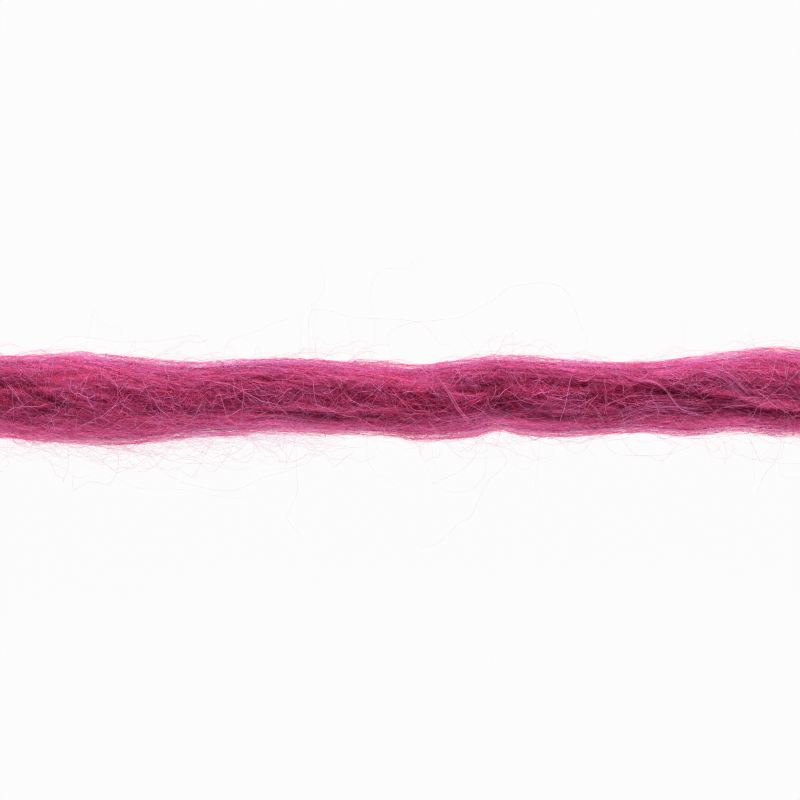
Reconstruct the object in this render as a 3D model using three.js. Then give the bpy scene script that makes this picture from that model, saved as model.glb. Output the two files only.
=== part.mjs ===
import * as THREE from "three";

// Knitting yarn: a cut length of one thick, barely twisted strand of combed wool, lying straight on a flat surface.
// Millimetres. +X runs along the strand and +Z is up. The origin is under the middle of the strand, on the surface.

const strandLength = 98;
const heightShare = 0.86; // how tall a section stands for its width: the soft strand sags a little
const settle = 0.45; // how far each section sinks into its flattened underside

const sides = 36;
const stations = 84;

// Sections from end to end: where each lies, how wide the strand is there, and how far its middle strays towards +Y.
const sections = [
  { along: -49.0, width: 5.6, stray: -0.15 },
  { along: -47.2, width: 6.6, stray: -0.15 },
  { along: -43.0, width: 7.0, stray: -0.1 },
  { along: -36.0, width: 7.5, stray: -0.1 },
  { along: -32.4, width: 8.1, stray: -0.2 },
  { along: -28.4, width: 8.4, stray: -0.2 },
  { along: -25.2, width: 8.1, stray: -0.4 },
  { along: -22.5, width: 7.5, stray: -0.45 },
  { along: -18.9, width: 6.6, stray: -0.4 },
  { along: -15.3, width: 6.7, stray: -0.2 },
  { along: -10.8, width: 6.7, stray: 0.05 },
  { along: -5.4, width: 6.8, stray: -0.05 },
  { along: -1.8, width: 6.7, stray: -0.15 },
  { along: 1.8, width: 6.8, stray: -0.5 },
  { along: 4.0, width: 7.0, stray: -0.35 },
  { along: 6.8, width: 7.1, stray: -0.1 },
  { along: 8.6, width: 6.7, stray: 0.25 },
  { along: 11.2, width: 7.1, stray: 0.0 },
  { along: 14.4, width: 7.0, stray: -0.15 },
  { along: 18.5, width: 6.5, stray: -0.15 },
  { along: 22.5, width: 6.5, stray: -0.15 },
  { along: 26.1, width: 7.3, stray: 0.0 },
  { along: 29.7, width: 7.2, stray: 0.35 },
  { along: 33.3, width: 7.8, stray: 0.45 },
  { along: 36.0, width: 7.7, stray: 0.35 },
  { along: 42.0, width: 7.1, stray: 0.0 },
  { along: 47.2, width: 6.6, stray: -0.15 },
  { along: 49.0, width: 5.6, stray: -0.15 },
];

// Locks of fibre, laid over each other as they wind round the strand once in about 100 mm, as in the letter Z.
// Angles are in degrees from +Y over the top, at the two ends of each lock; rise is a share of the radius.
const locks = [
  { from: -64, to: -17, startAngle: -65, endAngle: 94, halfWidth: 44, rise: 0.0 },
  { from: -36, to: -9, startAngle: 72, endAngle: 116, halfWidth: 32, rise: 0.03 },
  { from: -64, to: -16, startAngle: 44, endAngle: 184, halfWidth: 48, rise: 0.0 },
  { from: -34, to: -4, startAngle: -52, endAngle: 38, halfWidth: 46, rise: 0.01 },
  { from: -19, to: 9, startAngle: 52, endAngle: 106, halfWidth: 46, rise: 0.01 },
  { from: -15, to: 10, startAngle: 146, endAngle: 158, halfWidth: 36, rise: 0.02 },
  { from: 1, to: 24, startAngle: 22, endAngle: 44, halfWidth: 44, rise: 0.02 },
  { from: 8, to: 24, startAngle: 70, endAngle: 98, halfWidth: 30, rise: -0.04 },
  { from: 5, to: 24, startAngle: 146, endAngle: 164, halfWidth: 38, rise: 0.0 },
  { from: 17, to: 64, startAngle: 138, endAngle: 196, halfWidth: 36, rise: 0.01 },
  { from: 14, to: 60, startAngle: 10, endAngle: 170, halfWidth: 37, rise: 0.01 },
  { from: 25, to: 72, startAngle: -10, endAngle: 150, halfWidth: 34, rise: 0.03 },
  { from: -64, to: -20, startAngle: 130, endAngle: 276, halfWidth: 48, rise: 0.0 },
  { from: -64, to: -14, startAngle: 215, endAngle: 385, halfWidth: 48, rise: 0.0 },
  { from: -26, to: 6, startAngle: 168, endAngle: 262, halfWidth: 46, rise: 0.0 },
  { from: -28, to: 10, startAngle: 238, endAngle: 362, halfWidth: 48, rise: 0.0 },
  { from: 0, to: 32, startAngle: 175, endAngle: 275, halfWidth: 46, rise: 0.0 },
  { from: -2, to: 30, startAngle: 252, endAngle: 358, halfWidth: 48, rise: 0.0 },
  { from: 22, to: 72, startAngle: 190, endAngle: 350, halfWidth: 46, rise: 0.0 },
  { from: 20, to: 68, startAngle: 268, endAngle: 430, halfWidth: 46, rise: 0.0 },
];
const coreReach = 0.84; // the radius left where no lock lies, and how far a lock falls away at its flanks and its ends
const flankDrop = 0.17;
const endDrop = 0.14;

const halfTurn = 180;

// A smooth curve through the rows of the section table.
const throughSections = new THREE.CubicInterpolant(
  sections.map((row) => row.along),
  sections.flatMap((row) => [row.width, row.stray]),
  2,
);

// The share of the full radius that the strand has at a place along it and an angle round it in degrees.
function reachAt(along, angle) {
  let reach = coreReach;
  for (const lock of locks) {
    const share = (along - lock.from) / (lock.to - lock.from);
    if (share <= 0 || share >= 1) continue;
    const turned = angle - THREE.MathUtils.lerp(lock.startAngle, lock.endAngle, share);
    const apart = THREE.MathUtils.euclideanModulo(turned + halfTurn, 2 * halfTurn) - halfTurn;
    const across = Math.abs(apart) / lock.halfWidth;
    if (across >= 1) continue;
    const flank = flankDrop * (1 - Math.sqrt(1 - across ** 2));
    const end = endDrop * (1 - Math.sqrt(Math.sin(Math.PI * share)));
    reach = Math.max(reach, 1 + lock.rise - flank - end);
  }
  return reach;
}

// The strand starts as a plain cylinder along X, and each of its points moves to the section that it lies in.
function strandGeometry() {
  const geometry = new THREE.CylinderGeometry(1, 1, strandLength, sides, stations);
  geometry.rotateZ(-Math.PI / 2);
  const points = geometry.attributes.position;
  for (let i = 0; i < points.count; i++) {
    const along = points.getX(i);
    const outward = Math.hypot(points.getY(i), points.getZ(i)); // 1 on the side wall, 0 in the middle of an end
    const angle = Math.atan2(points.getZ(i), points.getY(i));
    const [width, stray] = throughSections.evaluate(along);
    const radius = (width / 2) * outward * reachAt(along, THREE.MathUtils.radToDeg(angle));
    const middleHeight = (heightShare * width) / 2 - settle;
    const z = middleHeight + heightShare * radius * Math.sin(angle);
    points.setXYZ(i, along, stray + radius * Math.cos(angle), Math.max(z, 0));
  }
  geometry.computeVertexNormals();
  return geometry;
}

const wool = new THREE.MeshStandardMaterial({ color: 0xaf416e, roughness: 0.9, metalness: 0 });

const strand = new THREE.Mesh(strandGeometry(), wool);
strand.name = "strand";

const yarn = new THREE.Group();
yarn.add(strand);

export default yarn;
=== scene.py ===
# Knitting yarn: a cut length of thick, soft, barely twisted wool strand that lies on a pale table.
# The camera looks at it from straight above.
import math

import bmesh
import bpy
import numpy as np
from mathutils import Matrix, Vector


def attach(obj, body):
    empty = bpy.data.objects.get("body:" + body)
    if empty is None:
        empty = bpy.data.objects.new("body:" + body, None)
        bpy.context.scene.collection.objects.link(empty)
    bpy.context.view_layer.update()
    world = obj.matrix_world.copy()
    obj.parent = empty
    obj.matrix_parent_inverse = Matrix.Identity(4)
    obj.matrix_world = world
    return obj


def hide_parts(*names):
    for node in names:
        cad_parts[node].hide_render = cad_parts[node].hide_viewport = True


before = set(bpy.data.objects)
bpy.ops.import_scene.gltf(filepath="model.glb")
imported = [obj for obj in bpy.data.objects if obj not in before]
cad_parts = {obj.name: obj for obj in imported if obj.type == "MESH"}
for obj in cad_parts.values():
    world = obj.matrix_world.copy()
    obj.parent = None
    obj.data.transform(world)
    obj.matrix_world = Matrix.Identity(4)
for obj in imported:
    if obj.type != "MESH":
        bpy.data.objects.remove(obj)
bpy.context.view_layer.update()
print("frame loaded:", sorted(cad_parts))

mm = 0.001
fullTurn = 360.0


# Rows of values as dictionaries, each value under its column's name
def table(names, *rows):
    return [dict(zip(names.split(), row)) for row in rows]


def columnOf(rows, name):
    return np.array([row[name] for row in rows], float)


def addObject(name, data):
    made = bpy.data.objects.new(name, data)
    bpy.context.scene.collection.objects.link(made)
    return made


# Stores one value on every point, curve or corner of the data: a number, or a vector where it is a row
def addAttribute(data, name, domain, values):
    kind, field = ("FLOAT_VECTOR", "vector") if values.ndim == 2 else ("FLOAT", "value")
    data.attributes.new(name, kind, domain).data.foreach_set(field, values.astype(np.float32).ravel())


def setInputs(node, values):
    for name, value in values.items():
        node.inputs[name].default_value = value


def addNode(nodes, kind, values):
    node = nodes.new(kind)
    setInputs(node, values)
    return node


# The strand's sections, in mm: where each lies, how wide the strand is there, and how far its middle
# strays towards +Y
sections = table(
    "along width stray",
    (-49.0, 5.6, -0.15),
    (-47.2, 6.6, -0.15),
    (-43.0, 7.0, -0.1),
    (-36.0, 7.5, -0.1),
    (-32.4, 8.1, -0.2),
    (-28.4, 8.4, -0.2),
    (-25.2, 8.1, -0.4),
    (-22.5, 7.5, -0.45),
    (-18.9, 6.6, -0.4),
    (-15.3, 6.7, -0.2),
    (-10.8, 6.7, 0.05),
    (-5.4, 6.8, -0.05),
    (-1.8, 6.7, -0.15),
    (1.8, 6.8, -0.5),
    (4.0, 7.0, -0.35),
    (6.8, 7.1, -0.1),
    (8.6, 6.7, 0.25),
    (11.2, 7.1, 0.0),
    (14.4, 7.0, -0.15),
    (18.5, 6.5, -0.15),
    (22.5, 6.5, -0.15),
    (26.1, 7.3, 0.0),
    (29.7, 7.2, 0.35),
    (33.3, 7.8, 0.45),
    (36.0, 7.7, 0.35),
    (42.0, 7.1, 0.0),
    (47.2, 6.6, -0.15),
    (49.0, 5.6, -0.15),
)

# Locks of fibre laid over each other, from and to in mm. Angles are in degrees round the strand, from +Y
# over the top, and rise is a share of the radius.
locks = table(
    "from to startAngle endAngle halfWidth rise",
    (-64, -17, -65, 94, 44, 0.0),
    (-36, -9, 72, 116, 32, 0.03),
    (-64, -16, 44, 184, 48, 0.0),
    (-34, -4, -52, 38, 46, 0.01),
    (-19, 9, 52, 106, 46, 0.01),
    (-15, 10, 146, 158, 36, 0.02),
    (1, 24, 22, 44, 44, 0.02),
    (8, 24, 70, 98, 30, -0.04),
    (5, 24, 146, 164, 38, 0.0),
    (17, 64, 138, 196, 36, 0.01),
    (14, 60, 10, 170, 37, 0.01),
    (25, 72, -10, 150, 34, 0.03),
    (-64, -20, 130, 276, 48, 0.0),
    (-64, -14, 215, 385, 48, 0.0),
    (-26, 6, 168, 262, 46, 0.0),
    (-28, 10, 238, 362, 48, 0.0),
    (0, 32, 175, 275, 46, 0.0),
    (-2, 30, 252, 358, 48, 0.0),
    (22, 72, 190, 350, 46, 0.0),
    (20, 68, 268, 430, 46, 0.0),
)

strandForm = {
    "halfLength": 49.0,
    "heightShare": 0.86,   # how tall a section stands for its width
    "settle": 0.45,        # how far it sinks into its flattened underside
    "coreReach": 0.85,     # the share of the radius left between locks
    "flankDrop": 0.17,     # how much of the radius a lock loses towards its sides
    "endDrop": 0.13,       # and towards its ends
    "ridgeShare": 0.7,     # how much of each ridge is built
    "clearance": 0.03,     # how high the lowest fibre's middle lies
    "twist": 3.5,          # degrees a millimetre
}

# Hollows between the locks, read off the picture: middle and half size in pixels, turn in degrees, and
# level, their depth in mm
hollows = table(
    "across down halfLong halfHigh turn level",
    (28, 386, 34, 4, 2, 0.30),
    (60, 375, 24, 4, -12, 0.22),
    (88, 371, 14, 4, 0, 0.18),
    (60, 401, 34, 4, 17, 0.30),
    (60, 424, 20, 4, 2, 0.12),
    (125, 395, 24, 6, 8, 0.24),
    (190, 394, 36, 10, 4, 0.26),
    (276, 379, 24, 4, 2, 0.24),
    (264, 411, 28, 3, 3, 0.17),
    (246, 419, 14, 6, 0, 0.18),
    (324, 416, 26, 3, 3, 0.16),
    (328, 374, 12, 4, 0, 0.16),
    (346, 393, 22, 7, 25, 0.18),
    (392, 414, 32, 4, 0, 0.19),
    (430, 404, 22, 8, 8, 0.24),
    (467, 391, 18, 5, 6, 0.20),
    (503, 401, 26, 8, -4, 0.20),
    (552, 384, 30, 5, 6, 0.15),
    (576, 385, 14, 5, 0, 0.20),
    (606, 399, 36, 10, 2, 0.26),
    (694, 393, 44, 4, 5, 0.23),
    (750, 401, 24, 4, 6, 0.06),
    (742, 365, 34, 4, 2, 0.22),
    (774, 416, 30, 6, 2, 0.19),
    (796, 378, 12, 4, 0, 0.26),
)
# Ridges where a lock lies proud, read the same way. Their level is a height.
ridges = table(
    "across down halfLong halfHigh turn level",
    (62, 388, 34, 6, 8, 0.16),
    (126, 381, 30, 6, 12, 0.12),
    (90, 421, 70, 8, 4, 0.06),
    (230, 368, 42, 7, -2, 0.16),
    (316, 387, 28, 9, 6, 0.12),
    (372, 376, 34, 7, 4, 0.10),
    (335, 426, 80, 5, 1, 0.12),
    (420, 427, 40, 6, -2, 0.14),
    (455, 400, 26, 5, 56, 0.16),
    (482, 374, 46, 9, 5, 0.12),
    (560, 368, 46, 4, 2, 0.12),
    (516, 421, 60, 6, 3, 0.12),
    (640, 368, 44, 5, 2, 0.10),
    (664, 413, 46, 8, -4, 0.16),
    (712, 375, 36, 8, 14, 0.18),
    (766, 385, 30, 9, 14, 0.10),
    (762, 355, 40, 4, -2, 0.10),
    (560, 413, 36, 4, 1, 0.30),
    (452, 418, 34, 4, -6, 0.14),
)

# The strand's middle in the picture's pixels, mm a pixel, and where that middle lies along Y in mm
picture = {"middle": (400, 398), "pixel": 0.09, "shift": -0.15}


def fromPicture(across, down):
    along = (np.asarray(across, float) - picture["middle"][0]) * picture["pixel"]
    side = (picture["middle"][1] - np.asarray(down, float)) * picture["pixel"] + picture["shift"]
    return along, side


# A smooth curve through one column of the sections
def atSections(along, name):
    places, values = columnOf(sections, "along"), columnOf(sections, name)
    slopes = np.gradient(values, places)
    row = np.clip(np.searchsorted(places, along) - 1, 0, len(places) - 2)
    gap = places[row + 1] - places[row]
    t = np.clip((along - places[row]) / gap, 0, 1)
    near = values[row] * (1 + 2 * t) * (1 - t) ** 2 + values[row + 1] * t * t * (3 - 2 * t)
    return near + gap * (slopes[row] * t * (1 - t) ** 2 - slopes[row + 1] * t * t * (1 - t))


# How high each lock stands at a place, as a share of the radius
def lockLevel(lock, along, angle):
    span = lock["to"] - lock["from"]
    share = np.clip((along - lock["from"]) / span, 0, 1)
    middle = lock["startAngle"] + (lock["endAngle"] - lock["startAngle"]) * share
    apart = (angle - middle + fullTurn / 2) % fullTurn - fullTurn / 2
    across = np.clip(np.abs(apart) / lock["halfWidth"], 0, 1)
    flank = strandForm["flankDrop"] * (1 - np.sqrt(1 - across ** 2))
    end = strandForm["endDrop"] * (1 - np.sqrt(np.sin(math.pi * share)))
    inside = (across < 1) & (share > 0) & (share < 1)
    return np.where(inside, 1 + lock["rise"] - flank - end, 0)


def topLock(along, angle):
    levels = np.stack([lockLevel(lock, along, angle) for lock in locks])
    return levels.argmax(axis=0), np.maximum(levels.max(axis=0), strandForm["coreReach"])


def middleHeight(along):
    return strandForm["heightShare"] * atSections(along, "width") / 2 - strandForm["settle"]


# The tallest of the patches at a place on the upper side
def patchLevel(patches, along, angle):
    side = atSections(along, "stray") + atSections(along, "width") / 2 * np.cos(np.radians(angle))
    level = np.zeros(np.broadcast(along, angle).shape)
    for patch in patches:
        x, y = fromPicture(patch["across"], patch["down"])
        turn = -math.radians(patch["turn"])
        long = ((along - x) * math.cos(turn) + (side - y) * math.sin(turn)) / patch["halfLong"]
        high = ((side - y) * math.cos(turn) - (along - x) * math.sin(turn)) / patch["halfHigh"]
        reach = (long ** 2 + high ** 2) / picture["pixel"] ** 2
        level = np.maximum(level, patch["level"] * np.exp(-reach))
    return level * (np.sin(np.radians(angle)) > 0)


# Wool at the sides is looser, and its tone there is painted paler as painted side light: most of that lies
# in a narrow band, the rest fades over the top
sideForm = {"band": 0.8, "bandPower": 7, "fade": 0.2, "fadePower": 2}


# How much of it there is at an angle, from 0 to 1
def sideShare(angle):
    across = np.abs(np.cos(np.radians(angle)))
    band = sideForm["band"] * across ** sideForm["bandPower"]
    return band + sideForm["fade"] * across ** sideForm["fadePower"]


# How far the surface stands out or sinks at a place, in mm
def relief(along, angle):
    return strandForm["ridgeShare"] * patchLevel(ridges, along, angle) - patchLevel(hollows, along, angle)


# A point at an angle round the strand, from +Y over the top: mm and degrees in, metres out
def onStrand(along, angle, reach, lift):
    turn = np.radians(angle)
    radius = atSections(along, "width") / 2 * reach
    y = atSections(along, "stray") + (radius + lift) * np.cos(turn)
    z = middleHeight(along) + (strandForm["heightShare"] * radius + lift) * np.sin(turn)
    return np.stack([along + 0 * y, y, np.maximum(z, strandForm["clearance"])], axis=-1) * mm


# Width is what the picture shows at aimHeight, in mm; nearest and furthest are in metres
cameraView = {
    "width": 72, "lens": 200, "sensor": 36, "middle": (0.0, -0.33), "aimHeight": 3.2,
    "nearest": 0.01, "furthest": 10,
}


def placeCamera(view):
    data = bpy.data.cameras.new("camera")
    data.lens = view["lens"]
    data.sensor_width = view["sensor"]
    data.clip_start = view["nearest"]
    data.clip_end = view["furthest"]
    camera = addObject("camera", data)
    distance = view["width"] * view["lens"] / view["sensor"]
    camera.location = (view["middle"][0] * mm, view["middle"][1] * mm, (view["aimHeight"] + distance) * mm)
    bpy.context.scene.camera = camera


placeCamera(cameraView)
print("camera placed")


webForm = {
    "spacing": 2 * math.pi / 20,  # between the lines of a wave texture at scale 1
    "patchFrom": 0.42,            # the noise between these two fades a patch of lines in
    "patchTo": 0.56,
}


# Lines of the finest fibre: the crests of a swirled wave texture, kept in patches. Turn is in degrees from
# the lay, apart is how far the lines lie from each other and wide how wide each is, both in mm. Each web is
# moved along by its own amount, so that no two start alike.
def addWeb(nodes, links, web):
    unrolled = nodes.new("ShaderNodeAttribute")
    unrolled.attribute_name = "unrolled"
    turned = addNode(nodes, "ShaderNodeMapping", {
        "Rotation": (0, 0, math.radians(90 - web["turn"])),
        "Location": (web["apart"] * web["turn"], 0, web["turn"]),
    })
    links.new(unrolled.outputs["Vector"], turned.inputs["Vector"])
    lines = addNode(nodes, "ShaderNodeTexWave", {
        "Scale": webForm["spacing"] / web["apart"], "Distortion": web["swirl"], "Detail": 1,
        "Detail Scale": web["curl"],
    })
    links.new(turned.outputs["Vector"], lines.inputs["Vector"])
    lineEdge = math.cos(math.pi * web["wide"] / web["apart"] / 2) ** 2
    crest = addNode(nodes, "ShaderNodeMapRange", {"From Min": lineEdge, "To Max": web["level"]})
    links.new(lines.outputs["Fac"], crest.inputs["Value"])
    patches = addNode(nodes, "ShaderNodeTexNoise", {"Scale": web["patches"]})
    links.new(turned.outputs["Vector"], patches.inputs["Vector"])
    share = addNode(nodes, "ShaderNodeMapRange", {
        "From Min": webForm["patchFrom"], "From Max": webForm["patchTo"],
    })
    links.new(patches.outputs["Fac"], share.inputs["Value"])
    kept = nodes.new("ShaderNodeMath")
    kept.operation = "MULTIPLY"
    links.new(crest.outputs["Result"], kept.inputs[0])
    links.new(share.outputs["Result"], kept.inputs[1])
    return kept.outputs["Value"]


def addUp(nodes, links, first, second):
    both = nodes.new("ShaderNodeMath")
    links.new(first, both.inputs[0])
    links.new(second, both.inputs[1])
    return both.outputs["Value"]


# What every finish shares. Noise from fleckFrom to fleckTo takes the tone from its lowest to its highest.
woolForm = {
    "fleckDetail": 4, "fleckFrom": 0.3, "fleckTo": 0.7, "specular": 0.2, "sheenRoughness": 0.4,
    "sheenTint": (1.0, 0.6, 0.82, 1),
}


# Wool, from deep to pale by the tone attribute, which carries painted light and shade as well as the wool's
# own tone, flecked and roughened by noise. Pattern is the attribute that the noise lies on, or Object for
# the object's own coordinates. Through is how much light the fibre lets past, and webs are lines of fine
# fibre.
def makeWool(name, form):
    material = bpy.data.materials.new(name)
    material.use_nodes = True
    nodes, links = material.node_tree.nodes, material.node_tree.links
    shader = nodes["Principled BSDF"]
    if form["pattern"] == "Object":
        place = nodes.new("ShaderNodeTexCoord").outputs["Object"]
    else:
        lay = nodes.new("ShaderNodeAttribute")
        lay.attribute_name = form["pattern"]
        place = lay.outputs["Vector"]
    stretch = addNode(nodes, "ShaderNodeMapping", {"Scale": form["stretch"]})
    links.new(place, stretch.inputs["Vector"])
    fleck = addNode(nodes, "ShaderNodeTexNoise", {
        "Scale": form["fleckScale"], "Detail": woolForm["fleckDetail"],
    })
    links.new(stretch.outputs["Vector"], fleck.inputs["Vector"])
    swing = addNode(nodes, "ShaderNodeMapRange", {
        "From Min": woolForm["fleckFrom"], "From Max": woolForm["fleckTo"],
        "To Min": -form["fleck"], "To Max": form["fleck"],
    })
    links.new(fleck.outputs["Fac"], swing.inputs["Value"])
    tone = nodes.new("ShaderNodeAttribute")
    tone.attribute_name = "tone"
    total = addUp(nodes, links, tone.outputs["Fac"], swing.outputs["Result"])
    grain = addNode(nodes, "ShaderNodeTexNoise", {"Scale": form["grainScale"]})
    links.new(stretch.outputs["Vector"], grain.inputs["Vector"])
    height = grain.outputs["Fac"]
    for web in form.get("webs", ()):
        line = addWeb(nodes, links, web)
        total = addUp(nodes, links, total, line)
        height = addUp(nodes, links, height, line)
    blend = nodes.new("ShaderNodeMix")
    blend.data_type = "RGBA"
    setInputs(blend, {"A": (*form["deep"], 1), "B": (*form["pale"], 1)})
    links.new(total, blend.inputs["Factor"])
    links.new(blend.outputs["Result"], shader.inputs["Base Color"])
    smoothest, roughest = form["rough"]
    rough = addNode(nodes, "ShaderNodeMapRange", {"To Min": smoothest, "To Max": roughest})
    links.new(fleck.outputs["Fac"], rough.inputs["Value"])
    links.new(rough.outputs["Result"], shader.inputs["Roughness"])
    bump = addNode(nodes, "ShaderNodeBump", {"Strength": form["bump"], "Distance": form["bumpHeight"] * mm})
    links.new(height, bump.inputs["Height"])
    links.new(bump.outputs["Normal"], shader.inputs["Normal"])
    setInputs(shader, {
        "Specular IOR Level": woolForm["specular"], "Sheen Weight": form["sheen"],
        "Sheen Roughness": woolForm["sheenRoughness"], "Sheen Tint": woolForm["sheenTint"],
    })
    if form["through"]:
        passing = nodes.new("ShaderNodeBsdfTranslucent")
        mix = addNode(nodes, "ShaderNodeMixShader", {"Fac": form["through"]})
        links.new(blend.outputs["Result"], passing.inputs["Color"])
        links.new(shader.outputs["BSDF"], mix.inputs[1])
        links.new(passing.outputs["BSDF"], mix.inputs[2])
        links.new(mix.outputs["Shader"], nodes["Material Output"].inputs["Surface"])
    return material


bodyForm = {
    "around": 180, "steps": 150,
    "endGap": 0.6,      # how far the body stops short of each cut end, in mm
    "inset": 0.02,      # how deep it lies under the fibres on the top
    "sideInset": 0.68,  # and at the sides
    "layRadius": 3.5,   # of the round strand on which the material's pattern is laid
    # Its tone is painted paler on ridges and darker in hollows, as painted highlight and shade, and paler at
    # the sides, as painted side light
    "tone": 0.12, "paintedReliefShading": 0.6, "paintedSideLight": 0.65,
}
bodyHalf = strandForm["halfLength"] - bodyForm["endGap"]


# Where each face corner lies when the surface is cut open along the underside and laid out flat, in mm
def unroll(mesh, along, angle, radius):
    corners = np.zeros(len(mesh.loops), int)
    mesh.loops.foreach_get("vertex_index", corners)
    starts = np.zeros(len(mesh.polygons), int)
    mesh.polygons.foreach_get("loop_start", starts)
    turn = (angle[corners] + fullTurn / 4) % fullTurn
    sizes = np.diff(np.append(starts, len(corners)))
    highest = np.repeat(np.maximum.reduceat(turn, starts), sizes)
    turn = np.where(highest - turn > fullTurn / 2, turn + fullTurn, turn)
    skewed = turn - strandForm["twist"] * along[corners]
    return np.stack([along[corners], radius * np.radians(skewed), 0 * turn], axis=-1)


def makeBody(form):
    bm = bmesh.new()
    ring = bmesh.ops.create_circle(bm, cap_ends=False, radius=1, segments=form["around"])["verts"]
    bmesh.ops.rotate(bm, verts=ring, cent=(0, 0, 0), matrix=Matrix.Rotation(math.pi / 2, 3, "Y"))
    bmesh.ops.translate(bm, verts=ring, vec=(-bodyHalf, 0, 0))
    bmesh.ops.spin(
        bm, geom=ring + list(bm.edges), steps=form["steps"], cent=(0, 0, 0), axis=(1, 0, 0),
        dvec=(2 * bodyHalf / form["steps"], 0, 0), angle=math.radians(strandForm["twist"] * 2 * bodyHalf),
    )
    bmesh.ops.holes_fill(bm, edges=[edge for edge in bm.edges if edge.is_boundary], sides=0)
    bmesh.ops.poke(bm, faces=[face for face in bm.faces if len(face.verts) > 4])
    bmesh.ops.recalc_face_normals(bm, faces=bm.faces)
    # Spin makes its faces in a new order each time, so they are sorted
    bm.verts.index_update()
    faces = sorted([vert.index for vert in face.verts] for face in bm.faces)
    mesh = bpy.data.meshes.new("strandBody")
    mesh.from_pydata([vert.co for vert in bm.verts], [], faces)
    bm.free()
    start = np.zeros(len(mesh.vertices) * 3)
    mesh.vertices.foreach_get("co", start)
    along, side, up = start.reshape(-1, 3).T
    angle = np.degrees(np.arctan2(up, side))
    reach = topLock(along, angle)[1]
    level = relief(along, angle)
    inset = form["inset"] + (form["sideInset"] - form["inset"]) * sideShare(angle)
    place = onStrand(along, angle, reach, level - inset)
    centre = np.stack([along, atSections(along, "stray"), middleHeight(along)], axis=-1) * mm
    place = centre + (place - centre) * np.minimum(np.hypot(side, up), 1)[:, None]
    mesh.vertices.foreach_set("co", place.ravel())
    # Painted highlight on the ridges, painted shade in the hollows and painted side light at the flanks, on
    # top of the base tone
    tones = np.clip(form["tone"] + form["paintedReliefShading"] * level + form["paintedSideLight"] * sideShare(angle), 0, 1)
    turn = np.radians(angle - strandForm["twist"] * along)
    lay = np.stack([along, form["layRadius"] * np.cos(turn), form["layRadius"] * np.sin(turn)], axis=-1)
    addAttribute(mesh, "tone", "POINT", tones)
    addAttribute(mesh, "lay", "POINT", lay)
    addAttribute(mesh, "unrolled", "CORNER", unroll(mesh, along, angle, form["layRadius"]))
    mesh.polygons.foreach_set("use_smooth", [True] * len(mesh.polygons))
    return addObject("strandBody", mesh)


tubeSides = 3


# One mesh of thin tubes: each fibre has a path in metres, radii in mm and a tone. Smooth is how many steps
# a curve takes from point to point, 1 for straight lines.
def makeFibres(name, fibres, material, smooth=1):
    data = bpy.data.hair_curves.new(name)
    data.add_curves([len(fibre["path"]) for fibre in fibres])
    paths = np.concatenate([fibre["path"] for fibre in fibres]).astype(np.float32)
    data.attributes["position"].data.foreach_set("vector", paths.ravel())
    radii = np.concatenate([fibre["radii"] for fibre in fibres]).astype(np.float32) * mm
    addAttribute(data, "radius", "POINT", radii)
    addAttribute(data, "tone", "CURVE", columnOf(fibres, "tone"))
    curves = addObject(name + "Paths", data)
    group = bpy.data.node_groups.new(name, "GeometryNodeTree")
    group.interface.new_socket("Geometry", in_out="OUTPUT", socket_type="NodeSocketGeometry")
    nodes, links = group.nodes, group.links
    source = addNode(nodes, "GeometryNodeObjectInfo", {"Object": curves})
    bend = nodes.new("GeometryNodeCurveSplineType")
    bend.spline_type = "POLY" if smooth == 1 else "CATMULL_ROM"
    fineness = addNode(nodes, "GeometryNodeSetSplineResolution", {"Resolution": smooth})
    profile = addNode(nodes, "GeometryNodeCurvePrimitiveCircle", {"Resolution": tubeSides, "Radius": 1})
    thickness = nodes.new("GeometryNodeInputRadius")
    tube = addNode(nodes, "GeometryNodeCurveToMesh", {"Fill Caps": True})
    output = nodes.new("NodeGroupOutput")
    links.new(source.outputs["Geometry"], bend.inputs["Curve"])
    links.new(bend.outputs["Curve"], fineness.inputs["Geometry"])
    links.new(fineness.outputs["Geometry"], tube.inputs["Curve"])
    links.new(profile.outputs["Curve"], tube.inputs["Profile Curve"])
    links.new(thickness.outputs["Radius"], tube.inputs["Scale"])
    links.new(tube.outputs["Mesh"], output.inputs["Geometry"])
    holder = addObject(name + "Holder", bpy.data.meshes.new(name + "Holder"))
    holder.modifiers.new("tubes", "NODES").node_group = group
    mesh = bpy.data.meshes.new_from_object(holder.evaluated_get(bpy.context.evaluated_depsgraph_get()))
    for leftover in (holder, curves):
        bpy.data.objects.remove(leftover)
    bpy.data.node_groups.remove(group)
    mesh.name = name
    mesh.materials.clear()
    mesh.materials.append(material)
    piece = addObject(name, mesh)
    mesh.calc_loop_triangles()
    print(name, len(mesh.loop_triangles), "triangles")
    return piece


def fibresOf(paths, radii, tones):
    tones = np.clip(tones, 0, 1)
    return [{"path": path, "radii": size, "tone": tone} for path, size, tone in zip(paths, radii, tones)]


waveHeights = (0.4, 1.5)  # the lowest and highest, as shares of the size asked for


# A wave along each fibre, with its own length and height
def wave(rng, count, size, lengths, along):
    length = rng.uniform(*lengths, count)[:, None]
    start = rng.uniform(0, 2 * math.pi, count)[:, None]
    height = size * rng.uniform(*waveHeights, count)[:, None]
    return height * np.sin(2 * math.pi * along / length + start)


# From 0 in a fibre's middle to 1 at both its ends, where t goes from 0 to 1 along it
def nearEnds(t, power):
    return np.abs(2 * t - 1) ** power


# Walks each fibre over the surface, step by step. Heading is in degrees from the lay of its lock.
def walk(along, angle, slope, heading, step):
    alongs, angles = [along], [angle]
    for i in range(heading.shape[1]):
        turn = np.radians(heading[:, i])
        radius = atSections(along, "width") / 2
        along = along + np.cos(turn) * step
        angle = angle + slope * np.cos(turn) * step + np.degrees(np.sin(turn) * step / radius)
        alongs.append(along)
        angles.append(angle)
    return np.stack(alongs, axis=1), np.stack(angles, axis=1)


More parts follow.
